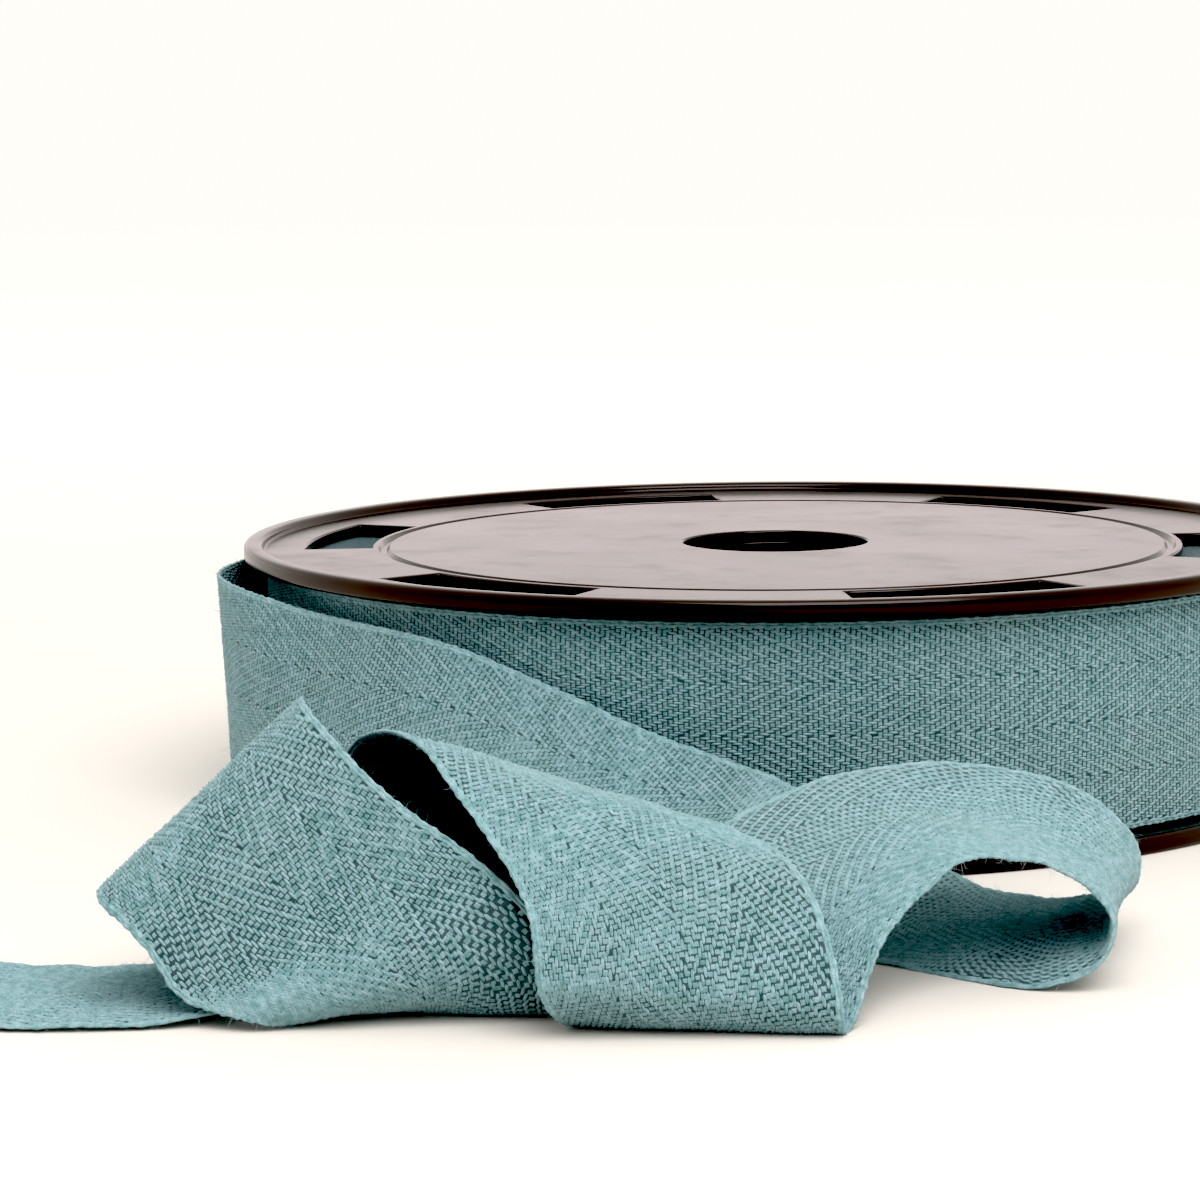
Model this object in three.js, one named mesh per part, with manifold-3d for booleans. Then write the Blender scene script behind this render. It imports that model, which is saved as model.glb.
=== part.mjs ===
// A reel of herringbone twill tape with a loose end pulled off.
// Millimetres, +Z up; -Y is the front, where the loose end lies. The pieces are made
// round the reel's axis, and then the whole is moved so that the origin is the centre
// of its bounding box, on the surface that it lies on.
import * as THREE from 'three';
import { mergeVertices } from 'three/addons/utils/BufferGeometryUtils.js';
import Module from 'manifold-3d';

const wasm = await Module();
wasm.setup();

// Driving dimensions of the reel.
const REEL_RADIUS = 65;
const REEL_HEIGHT = 30.2;
const FLANGE_THICKNESS = 2.1;
const RIM_WIDTH = 2.1;
const RIM_ROUND = 0.5;
const DISC_RECESS = 1;
const SPINDLE_RADIUS = 11.3;
const GROOVE_RADIUS = 48;
const GROOVE_WIDTH = 1.6;
const GROOVE_DEPTH = 0.4;
const SLOT_COUNT = 6;
const SLOT_SPREAD = 28;
const SLOT_FIRST = 10;
const SLOT_INNER_RADIUS = 49.5;
const SLOT_OUTER_RADIUS = 57.5;
const CORE_RADIUS = 19;
const CORE_WALL = 1.6;
const CORE_RIBS = 6;
const CORE_RIB_WIDTH = 1.8;
const FIT = 0.3;

// Driving dimensions of the tape. The sheet is thicker than the cloth of 0.55 mm.
const TAPE_WIDTH = 25;
const WINDING_RADIUS = 61.5;
const WINDING_EDGE = 0.5;
const SHEET = 1.1;
const SHEET_STEP = 3;
const SHEET_CELLS = 5;

const ROUND_STEPS = 64;
const tapeBottom = (REEL_HEIGHT - TAPE_WIDTH) / 2;
const tapeTop = tapeBottom + TAPE_WIDTH;
const rad = THREE.MathUtils.degToRad;

const plastic = new THREE.MeshStandardMaterial({ color: 0x2b1407, roughness: 0.25 });
const corePlastic = new THREE.MeshStandardMaterial({ color: 0x2b1407, roughness: 0.4 });
const twill = new THREE.MeshStandardMaterial({ color: 0x7fa8a8, roughness: 0.9 });

// The loose end lies on the winding between these angles, and leaves it at the last.
const LIES_FROM = 112;
const LIES_TO = 162;
const LIES_STEP = 10;
const LIES_GAP = 0.42;

// Sections across the loose end in the order of its length. The columns are the
// x, y, z of the selvedge that is upper on the reel, then of the lower one.
const LEAVES_THE_REEL = [
  [-61.8, 11, 27.6, -61.8, 11, 2.6],
  [-67.3, -8, 27.3, -65.5, -10, 2.4],
  [-64.5, -21, 26.8, -63.5, -27, 2],
  [-56.5, -32, 25.6, -56, -41, 1.2],
  [-38.3, -51.5, 24, -43.6, -60, 0.6],
];
const LIES_DOWN_TO_THE_RIGHT = [
  [-20.5, -61, 16.9, -30.5, -74.5, 0.6],
  [-9.2, -66, 13.2, -20, -84, 0.6],
  [-1.3, -73, 10.7, -9, -92, 0.6],
  [8, -77, 6.5, -2, -98, 0.6],
  [17.3, -82.5, 2.7, 4.1, -102.9, 0.6],
];
const RIGHT_LOOP = [
  [26.3, -91, 3.5, 12, -109.5, 0.6],
  [30, -94.5, 5, 19, -114.5, 0.8],
  [30.6, -93, 9, 25, -115, 3],
  [26.8, -92, 13.2, 25.6, -114.5, 7.2],
  [16, -90.5, 16.5, 20.5, -112.5, 11.5],
  [3, -95, 16.5, 12.8, -114.5, 12.8],
  [-8, -101, 14, 7.2, -119, 10.5],
];
const MIDDLE_CURL = [
  [-16, -109, 8.5, 2.8, -124, 6],
  [-20, -118, 3, 0.5, -128.5, 2],
  [-24, -128, 0.6, -1, -131, 0.6],
  [-26.2, -133.5, 4, -1.5, -133.5, 3],
  [-27, -132, 12, -3, -131, 9],
  [-31.3, -127, 19.2, -6, -127, 14],
  [-37.6, -119, 24.4, -10.5, -120, 16.5],
  [-44, -108, 23, -17, -111, 16],
  [-47, -103, 15, -23.5, -104, 12],
  [-47.5, -103.5, 6, -24, -105, 4.5],
];
const LEFT_CURL = [
  [-49, -111, 0.9, -26, -113, 0.8],
  [-49, -121, 0.6, -27.5, -124, 0.8],
  [-48, -127, 1, -27, -127.8, 5],
  [-51.8, -128.3, 2.3, -30, -128.5, 9.7],
  [-57.8, -126, 3.6, -35, -126.8, 14.6],
  [-61.8, -124, 6.5, -40.3, -125.3, 19.5],
  [-65, -122, 9, -45.5, -122.5, 24.5],
  [-67, -119.5, 11, -49.3, -118.5, 27.3],
  [-66.3, -114, 11.5, -50.5, -113.5, 26.8],
  [-64.3, -108.5, 8, -50.5, -108, 22.5],
];
const TAIL = [
  [-62, -102.5, 3.2, -48.5, -107, 22],
  [-60, -100, 1.2, -46.5, -109.8, 20.3],
  [-59.8, -99.8, 0.7, -47, -114.5, 17.5],
  [-61, -101, 0.6, -49, -120.3, 11.5],
  [-63, -102.8, 0.6, -53, -123.6, 3],
  [-68, -103.3, 0.6, -59, -126, 1],
  [-77, -103, 0.6, -72, -127, 0.9],
  [-90, -100, 0.6, -88, -124.5, 0.6],
];

function lathe(outline, material, name) {
  const points = outline.map(([r, z]) => new THREE.Vector2(r, z));
  points.push(points[0].clone());
  const geometry = new THREE.LatheGeometry(points, ROUND_STEPS);
  geometry.rotateX(Math.PI / 2);
  return named(new THREE.Mesh(geometry, material), name);
}

function named(mesh, name) {
  mesh.name = name;
  return mesh;
}

function toSolid(geometry) {
  const bare = geometry.clone();
  bare.deleteAttribute('normal');
  bare.deleteAttribute('uv');
  const merged = mergeVertices(bare, 1e-4);
  return new wasm.Manifold(new wasm.Mesh({
    numProp: 3,
    vertProperties: new Float32Array(merged.attributes.position.array),
    triVerts: new Uint32Array(merged.index.array),
  }));
}

function toGeometry(solid) {
  const mesh = solid.getMesh();
  const geometry = new THREE.BufferGeometry();
  const positions = new THREE.BufferAttribute(new Float32Array(mesh.vertProperties), 3);
  geometry.setAttribute('position', positions);
  geometry.setIndex(new THREE.BufferAttribute(new Uint32Array(mesh.triVerts), 1));
  geometry.computeVertexNormals();
  return geometry;
}

// Outline of the lower flange, anticlockwise: the face with the rim and the groove
// points down, the flat face points up to the tape.
function flangeOutline() {
  const grooveInner = GROOVE_RADIUS - GROOVE_WIDTH / 2;
  const grooveOuter = GROOVE_RADIUS + GROOVE_WIDTH / 2;
  const rimInner = REEL_RADIUS - RIM_WIDTH;
  return [
    [SPINDLE_RADIUS, DISC_RECESS],
    [grooveInner, DISC_RECESS],
    [grooveInner + GROOVE_DEPTH, DISC_RECESS + GROOVE_DEPTH],
    [grooveOuter - GROOVE_DEPTH, DISC_RECESS + GROOVE_DEPTH],
    [grooveOuter, DISC_RECESS],
    [rimInner - RIM_ROUND, DISC_RECESS],
    [rimInner, RIM_ROUND],
    [rimInner + RIM_ROUND, 0],
    [REEL_RADIUS - RIM_ROUND, 0],
    [REEL_RADIUS, RIM_ROUND],
    [REEL_RADIUS, FLANGE_THICKNESS - RIM_ROUND],
    [REEL_RADIUS - RIM_ROUND, FLANGE_THICKNESS],
    [SPINDLE_RADIUS, FLANGE_THICKNESS],
  ];
}

function slot(angle) {
  const from = rad(angle - SLOT_SPREAD / 2);
  const to = rad(angle + SLOT_SPREAD / 2);
  const shape = new THREE.Shape();
  shape.absarc(0, 0, SLOT_OUTER_RADIUS, from, to, false);
  shape.absarc(0, 0, SLOT_INNER_RADIUS, to, from, true);
  const depth = 2 * FLANGE_THICKNESS;
  const cutter = new THREE.ExtrudeGeometry(shape, { depth, bevelEnabled: false, curveSegments: 10 });
  cutter.translate(0, 0, -FLANGE_THICKNESS / 2);
  return toSolid(cutter);
}

function flange(name, first) {
  let solid = toSolid(lathe(flangeOutline(), plastic, name).geometry);
  for (let k = 0; k < SLOT_COUNT; k++) {
    solid = solid.subtract(slot(first + (k * 360) / SLOT_COUNT));
  }
  return named(new THREE.Mesh(toGeometry(solid), plastic), name);
}

// The hub: an inner tube round the spindle hole, an outer one that carries the tape,
// and ribs between the two.
function core() {
  const shape = new THREE.Shape();
  shape.absarc(0, 0, CORE_RADIUS, 0, 2 * Math.PI, false);
  const bore = new THREE.Path();
  bore.absarc(0, 0, SPINDLE_RADIUS, 0, 2 * Math.PI, true);
  shape.holes.push(bore);
  const inner = SPINDLE_RADIUS + CORE_WALL;
  const outer = CORE_RADIUS - CORE_WALL;
  const pitch = (2 * Math.PI) / CORE_RIBS;
  for (let k = 0; k < CORE_RIBS; k++) {
    const from = k * pitch + CORE_RIB_WIDTH / 2 / inner;
    const to = (k + 1) * pitch - CORE_RIB_WIDTH / 2 / inner;
    const pocket = new THREE.Path();
    pocket.absarc(0, 0, outer, from, to, false);
    pocket.absarc(0, 0, inner, to, from, true);
    shape.holes.push(pocket);
  }
  const depth = REEL_HEIGHT - 2 * (FLANGE_THICKNESS + FIT);
  const geometry = new THREE.ExtrudeGeometry(shape, { depth, bevelEnabled: false, curveSegments: 12 });
  const mesh = named(new THREE.Mesh(geometry, corePlastic), 'reel_core');
  mesh.position.z = FLANGE_THICKNESS + FIT;
  return mesh;
}

function winding() {
  const inner = CORE_RADIUS + FIT;
  const shy = WINDING_EDGE / 2;
  return lathe([
    [inner, tapeBottom],
    [WINDING_RADIUS - WINDING_EDGE, tapeBottom],
    [WINDING_RADIUS - shy / 2, tapeBottom + WINDING_EDGE],
    [WINDING_RADIUS, REEL_HEIGHT / 2],
    [WINDING_RADIUS - shy / 2, tapeTop - WINDING_EDGE],
    [WINDING_RADIUS - WINDING_EDGE, tapeTop],
    [inner, tapeTop],
  ], twill, 'tape_winding');
}

function looseSections() {
  const rows = [];
  const lies = WINDING_RADIUS + LIES_GAP + SHEET / 2;
  for (let angle = LIES_FROM; angle <= LIES_TO; angle += LIES_STEP) {
    const x = lies * Math.cos(rad(angle));
    const y = lies * Math.sin(rad(angle));
    rows.push([x, y, tapeTop, x, y, tapeBottom]);
  }
  return rows.concat(
    LEAVES_THE_REEL, LIES_DOWN_TO_THE_RIGHT, RIGHT_LOOP, MIDDLE_CURL, LEFT_CURL, TAIL);
}

const mix = (a, b, t) => a.map((v, k) => v + (b[k] - v) * t);
const distance = (a, b) => Math.hypot(...a.map((v, k) => v - b[k]));

// A centripetal Catmull-Rom curve through rows of six numbers.
function smoothRows(rows, steps) {
  const last = rows.length - 1;
  const before = mix(rows[0], rows[1], -1);
  const after = mix(rows[last], rows[last - 1], -1);
  const all = [before, ...rows, after];
  const out = [];
  for (let k = 1; k <= last; k++) {
    const [p0, p1, p2, p3] = all.slice(k - 1, k + 3);
    const t1 = Math.sqrt(distance(p0, p1));
    const t2 = t1 + Math.sqrt(distance(p1, p2));
    const t3 = t2 + Math.sqrt(distance(p2, p3));
    for (let i = 0; i < steps; i++) {
      const t = t1 + ((t2 - t1) * i) / steps;
      const a1 = mix(p0, p1, t / t1);
      const a2 = mix(p1, p2, (t - t1) / (t2 - t1));
      const a3 = mix(p2, p3, (t - t2) / (t3 - t2));
      const b1 = mix(a1, a2, t / t2);
      const b2 = mix(a2, a3, (t - t1) / (t3 - t1));
      out.push(mix(b1, b2, (t - t1) / (t2 - t1)));
    }
  }
  out.push(rows[last]);
  return out;
}

// The same rows again, at equal steps of the mean length of the two selvedges.
function evenRows(rows, step) {
  const along = [0];
  for (let k = 1; k < rows.length; k++) {
    const upper = distance(rows[k].slice(0, 3), rows[k - 1].slice(0, 3));
    const lower = distance(rows[k].slice(3), rows[k - 1].slice(3));
    along.push(along[k - 1] + (upper + lower) / 2);
  }
  const length = along[along.length - 1];
  const count = Math.round(length / step);
  const out = [];
  let k = 1;
  for (let i = 0; i <= count; i++) {
    const at = (length * i) / count;
    while (k < rows.length - 1 && along[k] < at) k++;
    out.push(mix(rows[k - 1], rows[k], (at - along[k - 1]) / (along[k] - along[k - 1])));
  }
  return out;
}

// Lines across the tape, each stretched or shortened to the tape's true width, which
// is measured square to its length.
function trueWidth(rows) {
  const lines = rows.map((row) => {
    const upper = new THREE.Vector3(...row.slice(0, 3));
    const lower = new THREE.Vector3(...row.slice(3));
    const middle = upper.clone().add(lower).multiplyScalar(0.5);
    return { middle, across: upper.sub(lower) };
  });
  const last = lines.length - 1;
  lines.forEach((line, i) => {
    const ahead = lines[Math.min(i + 1, last)].middle;
    const behind = lines[Math.max(i - 1, 0)].middle;
    line.travel = ahead.clone().sub(behind).normalize();
    const slip = line.travel.clone().multiplyScalar(line.across.dot(line.travel));
    line.scale = TAPE_WIDTH / line.across.clone().sub(slip).length();
  });
  const reach = 3;
  return lines.map((line, i) => {
    let sum = 0;
    for (let k = -reach; k <= reach; k++) {
      sum += lines[Math.min(Math.max(i + k, 0), last)].scale;
    }
    return { middle: line.middle, across: line.across.multiplyScalar(sum / (2 * reach + 1)) };
  });
}

// The loose end: a grid of points along and across, given its thickness on both sides.
function looseEnd() {
  const lines = trueWidth(evenRows(smoothRows(looseSections(), 12), SHEET_STEP));
  const last = lines.length - 1;
  const grid = lines.map(({ middle, across }) => {
    const row = [];
    for (let j = 0; j <= SHEET_CELLS; j++) {
      const p = middle.clone().addScaledVector(across, j / SHEET_CELLS - 0.5);
      p.z = Math.max(p.z, SHEET / 2 + 0.02);
      row.push(p);
    }
    return row;
  });
  const positions = [];
  for (const side of [1, -1]) {
    for (let i = 0; i <= last; i++) {
      for (let j = 0; j <= SHEET_CELLS; j++) {
        const along = grid[Math.min(i + 1, last)][j].clone().sub(grid[Math.max(i - 1, 0)][j]);
        const up = grid[i][Math.min(j + 1, SHEET_CELLS)].clone().sub(grid[i][Math.max(j - 1, 0)]);
        const out = along.cross(up).normalize().multiplyScalar((side * SHEET) / 2);
        positions.push(...grid[i][j].clone().add(out).toArray());
      }
    }
  }
  const wide = SHEET_CELLS + 1;
  const at = (i, j, side) => i * wide + j + (side < 0 ? (last + 1) * wide : 0);
  const index = [];
  const quad = (a, b, c, d) => index.push(a, b, c, a, c, d);
  for (let i = 0; i < last; i++) {
    for (let j = 0; j < SHEET_CELLS; j++) {
      quad(at(i, j, 1), at(i + 1, j, 1), at(i + 1, j + 1, 1), at(i, j + 1, 1));
      quad(at(i, j, -1), at(i, j + 1, -1), at(i + 1, j + 1, -1), at(i + 1, j, -1));
    }
    const top = SHEET_CELLS;
    quad(at(i, 0, -1), at(i + 1, 0, -1), at(i + 1, 0, 1), at(i, 0, 1));
    quad(at(i, top, -1), at(i, top, 1), at(i + 1, top, 1), at(i + 1, top, -1));
  }
  for (let j = 0; j < SHEET_CELLS; j++) {
    quad(at(0, j, -1), at(0, j, 1), at(0, j + 1, 1), at(0, j + 1, -1));
    quad(at(last, j, -1), at(last, j + 1, -1), at(last, j + 1, 1), at(last, j, 1));
  }
  const geometry = new THREE.BufferGeometry();
  geometry.setAttribute('position', new THREE.Float32BufferAttribute(positions, 3));
  geometry.setIndex(index);
  geometry.computeVertexNormals();
  return named(new THREE.Mesh(geometry, twill), 'tape_loose_end');
}

const group = new THREE.Group();
const bottomFlange = flange('reel_bottom_flange', SLOT_FIRST);
const topFlange = flange('reel_top_flange', SLOT_FIRST);
topFlange.rotation.x = Math.PI;
topFlange.position.z = REEL_HEIGHT;
group.add(bottomFlange, topFlange, core(), winding(), looseEnd());
const middle = new THREE.Box3().setFromObject(group, true).getCenter(new THREE.Vector3());
group.position.set(-middle.x, -middle.y, 0);

export default group;
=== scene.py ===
# %% [markdown]
# # A roll of herringbone twill tape
#
# The real object is a flat moulded reel with some twenty metres of cotton tape on it.
# The last half metre has been pulled off and lies in loops in front of the reel. The
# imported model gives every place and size. This script adds what the eye reads as
# cotton and as plastic: the weave, the corded edges, the loose fibres and the gloss.

# %% Load the fixed frame
import math

import bpy
import numpy as np
from mathutils import Matrix, Vector


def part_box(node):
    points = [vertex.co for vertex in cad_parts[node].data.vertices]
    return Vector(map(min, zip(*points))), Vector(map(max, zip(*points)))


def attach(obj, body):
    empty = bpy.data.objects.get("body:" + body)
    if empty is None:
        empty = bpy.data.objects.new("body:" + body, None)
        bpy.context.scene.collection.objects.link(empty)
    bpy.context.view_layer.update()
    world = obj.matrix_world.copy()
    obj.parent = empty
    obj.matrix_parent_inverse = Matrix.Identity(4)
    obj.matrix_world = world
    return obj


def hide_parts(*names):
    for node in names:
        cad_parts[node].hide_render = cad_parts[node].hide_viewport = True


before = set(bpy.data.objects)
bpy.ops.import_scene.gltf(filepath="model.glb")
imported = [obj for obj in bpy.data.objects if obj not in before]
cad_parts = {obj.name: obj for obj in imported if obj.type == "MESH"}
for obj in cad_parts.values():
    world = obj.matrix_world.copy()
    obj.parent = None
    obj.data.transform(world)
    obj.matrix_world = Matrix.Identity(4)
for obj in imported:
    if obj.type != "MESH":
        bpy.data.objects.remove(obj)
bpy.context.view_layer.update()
print("nodes", sorted(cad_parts))

# %% [markdown]
# ## Places and sizes
#
# The tape and the reel are easiest to describe round the reel's own axis, in
# millimetres. Blender works in metres from the middle of the whole object. So one
# helper turns reel millimetres into frame metres, and nothing else has to know.

# %% From reel millimetres to frame metres
MM = 0.001
flange_box = [np.array(corner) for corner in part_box("reel_bottom_flange")]
winding_box = [np.array(corner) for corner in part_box("tape_winding")]
reel_axis = (flange_box[0] + flange_box[1]) / 2
reel_axis[2] = 0
REEL_RADIUS = (flange_box[1][0] - flange_box[0][0]) / 2 / MM
REEL_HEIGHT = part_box("reel_top_flange")[1][2] / MM
TAPE_BOTTOM = winding_box[0][2] / MM
TAPE_WIDTH = (winding_box[1][2] - winding_box[0][2]) / MM
TAPE_MIDDLE = TAPE_BOTTOM + TAPE_WIDTH / 2


def in_frame(points):
    return np.asarray(points, float) * MM + reel_axis


print(f"reel {2 * REEL_RADIUS:.1f} mm across, {REEL_HEIGHT:.1f} mm high, tape {TAPE_WIDTH:.1f} mm wide")

# %% [markdown]
# ## Camera
#
# The picture is taken from just above table height with a long lens, so the reel's
# round rims show as narrow ellipses. A long lens far away keeps their proportions.

# %% Make the camera
CAMERA_PLACE = (-21.6, -453.1, 81.0)
CAMERA_PITCH = 7.41
CAMERA_ROLL = -0.59
FOCAL_PIXELS = 3712
PICTURE_PIXELS = 1200
SENSOR_MM = 36

camera_data = bpy.data.cameras.new("camera")
camera_data.sensor_width = SENSOR_MM
camera_data.lens = SENSOR_MM * FOCAL_PIXELS / PICTURE_PIXELS
camera_data.clip_start = 0.01
camera = bpy.data.objects.new("camera", camera_data)
tilt = Matrix.Rotation(math.radians(90 - CAMERA_PITCH), 4, "X")
roll = Matrix.Rotation(math.radians(CAMERA_ROLL), 4, "Z")
camera.matrix_world = Matrix.Translation(in_frame(CAMERA_PLACE)) @ tilt @ roll
bpy.context.scene.collection.objects.link(camera)
bpy.context.scene.camera = camera
print(f"lens {camera_data.lens:.1f} mm")

# %% [markdown]
# ## Writing materials as sums
#
# A material is a small calculation at each point of a surface. Node by node it is
# hard to read, so a wrapped socket lets Python's own signs build the nodes: a line
# such as `1 - wear * 0.3` adds a Subtract and a Multiply node.


# %% A socket that can be reckoned with
class Wire:
    def __init__(self, finish, socket):
        self.finish = finish
        self.socket = socket

    def maths(self, operation, *inputs):
        settings = {"operation": operation}
        return self.finish.node("ShaderNodeMath", settings, dict(enumerate(inputs)))

    def __add__(self, other):
        return self.maths("ADD", self, other)

    def __sub__(self, other):
        return self.maths("SUBTRACT", self, other)

    def __rsub__(self, other):
        return self.maths("SUBTRACT", other, self)

    def __mul__(self, other):
        return self.maths("MULTIPLY", self, other)

    __radd__ = __add__
    __rmul__ = __mul__

    def between(self, low, high):
        """0 below low, 1 above high, and a smooth rise in between."""
        settings = {"interpolation_type": "SMOOTHSTEP"}
        inputs = {"Value": self, "From Min": low, "From Max": high}
        return self.finish.node("ShaderNodeMapRange", settings, inputs)


# %% A finish: one material and the way to add its nodes
class Finish:
    def __init__(self, name):
        self.material = bpy.data.materials.new(name)
        self.start(self.material, "ShaderNodeOutputMaterial")

    def start(self, holder, output_kind):
        """Empties the holder's nodes, down to one output."""
        holder.use_nodes = True
        self.tree = holder.node_tree
        self.tree.nodes.clear()
        self.output = self.tree.nodes.new(output_kind)

    def node(self, kind, settings=None, inputs=None, out=0):
        node = self.tree.nodes.new(kind)
        for key, value in (settings or {}).items():
            setattr(node, key, value)
        for key, value in (inputs or {}).items():
            if isinstance(value, Wire):
                self.tree.links.new(value.socket, node.inputs[key])
            else:
                node.inputs[key].default_value = value
        return Wire(self, node.outputs[out])

    def place(self):
        return self.node("ShaderNodeTexCoord", out="Object")

    def noise(self, place, per_mm, detail=2.0, roughness=0.5):
        inputs = {"Vector": place, "Scale": per_mm / MM, "Detail": detail, "Roughness": roughness}
        return self.node("ShaderNodeTexNoise", None, inputs)

    def blend(self, share, first, second):
        """A colour that goes from first to second as share goes from 0 to 1."""
        return self.node("ShaderNodeMix", {"data_type": "RGBA"}, {0: share, 6: first, 7: second}, out=2)

    def bump(self, height, depth_mm, strength=1.0):
        inputs = {"Height": height, "Distance": depth_mm * MM, "Strength": strength}
        return self.node("ShaderNodeBump", None, inputs)

    def shade(self, **sockets):
        inputs = {name.replace("_", " "): value for name, value in sockets.items()}
        shader = self.node("ShaderNodeBsdfPrincipled", None, inputs)
        self.tree.links.new(shader.socket, self.output.inputs["Surface"])
        return self.material


# %% [markdown]
# ## Glossy brown plastic
#
# The reel is moulded in a brown so dark that it looks black, with a shine that
# mirrors the bright room where it is seen at a flat angle. Fine turned rings, hair
# scratches and a faint haze of handling keep that mirror from looking perfect.


# %% The plastic of the reel
DEEP_BROWN = (0.013, 0.0045, 0.002, 1)
WARM_BROWN = (0.022, 0.008, 0.0035, 1)
SCUFFED_BROWN = (0.045, 0.022, 0.013, 1)
TURNED_RINGS = 900


def reel_plastic():
    finish = Finish("brown_moulded_plastic")
    place = finish.place()
    cloudy = finish.noise(place, 0.06, 3)
    grain = finish.noise(place, 3.0, 2)
    axis = {0: place, 1: tuple(reel_axis)}
    from_axis = finish.node("ShaderNodeVectorMath", {"operation": "SUBTRACT"}, axis)
    flat = finish.node("ShaderNodeVectorMath", {"operation": "MULTIPLY"}, {0: from_axis, 1: (1, 1, 0)})
    radius = finish.node("ShaderNodeVectorMath", {"operation": "LENGTH"}, {0: flat}, out="Value")
    turning = {"W": radius, "Scale": TURNED_RINGS, "Detail": 3}
    rings = finish.node("ShaderNodeTexNoise", {"noise_dimensions": "1D"}, turning)
    scuffs = finish.noise(place, 0.12, 3, 0.6).between(0.50, 0.75)
    colour = finish.blend(cloudy, DEEP_BROWN, WARM_BROWN)
    colour = finish.blend(scuffs * 0.2, colour, SCUFFED_BROWN)
    roughness = 0.13 + cloudy * 0.08 + grain * 0.03 + scuffs * 0.03
    height = cloudy * 6.0 + rings * 0.25 + grain * 0.12
    return finish.shade(
        Base_Color=colour,
        Roughness=roughness,
        IOR=1.52,
        Normal=finish.bump(height, 0.012, 0.5),
    )


plastic = reel_plastic()
print("made", plastic.name)

# %% [markdown]
# ## Cotton
#
# The yarn is a matt blue-green. It isn't even: each float of yarn takes the dye a
# little differently, and random flecks of fibre turn a pale bluish white, partly
# rubbed wear and partly a painted sheen highlight. The ground between the floats is
# painted darker, as painted shade. Tiny fibres give cotton its soft edge of light,
# which the sheen stands for.


# %% The yarn of the tape
DEEP_DYE = (0.195, 0.370, 0.380)
PALE_DYE = (0.285, 0.412, 0.450)
GREY_DYE = (0.28, 0.39, 0.40)
# Pale bluish white for random fibre flecks: partly rubbed wear, partly a painted sheen highlight.
PALE_WEAR_AND_SHEEN = (0.66, 0.73, 0.82, 1)


def dyed(dye, tone, strength=1.0):
    return tuple(c * tone * strength for c in dye) + (1,)


def cotton(name, tone, pale, depth_mm):
    """tone scales the dye, and a low tone stands for painted shade; pale is how much of the fibre
    flecks turn to the pale colour of wear and painted sheen.
    """
    finish = Finish(name)
    place = finish.place()
    drift = finish.noise(place, 0.05, 2)
    grain_to_grain = finish.noise(place, 1.3, 1)
    fibre = finish.noise(place, 7.0, 3, 0.65)
    share = (grain_to_grain * 0.5 + fibre * 0.5).between(0.32, 0.68)
    colour = finish.blend(share, dyed(DEEP_DYE, tone, 0.80), dyed(PALE_DYE, tone, 1.17))
    colour = finish.blend(drift.between(0.40, 0.75) * 0.35, colour, dyed(GREY_DYE, tone))
    # Fibre flecks turn pale bluish white: partly wear, partly painted sheen.
    colour = finish.blend(fibre.between(0.56, 0.76) * pale, colour, PALE_WEAR_AND_SHEEN)
    return finish.shade(
        Base_Color=colour,
        Roughness=0.80 + fibre * 0.16,
        Normal=finish.bump(fibre, depth_mm, 0.9),
        Sheen_Weight=0.30,
        Sheen_Roughness=0.45,
        Sheen_Tint=(0.88, 0.95, 1.0, 1),
        Specular_IOR_Level=0.25,
    )


warp_yarn = cotton("cotton_warp_yarn", tone=1.08, pale=0.32, depth_mm=0.08)
weft_yarn = cotton("cotton_weft_yarn", tone=0.98, pale=0.22, depth_mm=0.08)
# The ground's low tone is painted shade: the same cotton, darkened for the hollows between the floats.
shaded_ground_yarn = cotton("cotton_ground_painted_shade", tone=0.30, pale=0.0, depth_mm=0.08)
stray_fibre = cotton("cotton_stray_fibre", tone=1.2, pale=0.5, depth_mm=0.01)
print("made", warp_yarn.name, weft_yarn.name, shaded_ground_yarn.name, stray_fibre.name)

# %% [markdown]
# ## Turning points and faces into pieces
#
# Every piece here is worked out as an array of points and an array of faces, so one
# helper makes the mesh, hangs it on the only body and names its finish. It also
# lifts any point that has come out just below the floor back up to it.


# %% Make a piece from points and faces
def piece(name, points, faces, material, smooth_under=180):
    mesh = bpy.data.meshes.new(name)
    points = np.array(points, float)
    points[:, 2] = np.maximum(points[:, 2], 0)
    mesh.from_pydata(in_frame(points).tolist(), [], [list(map(int, f)) for f in faces])
    mesh.materials.append(material)
    mesh.shade_smooth()
    if smooth_under < 180:
        mesh.set_sharp_from_angle(angle=math.radians(smooth_under))
    made = bpy.data.objects.new(name, mesh)
    bpy.context.scene.collection.objects.link(made)
    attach(made, "root")
    return made


# %% [markdown]
# ## The reel
#
# A flange is turned and pierced: a raised rim round a sunk disc, a shallow ring
# groove, a hole for the spindle and six curved windows. Cutting windows with
# booleans can leave ragged edges, so the plate is a grid of rings and spokes whose
# cells are simply left out where a window is, and a bevel softens its sharp edges.


# %% A round plate with windows
SPOKES = 180
HAIR = 1e-6
BEVEL_FROM = 50


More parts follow.
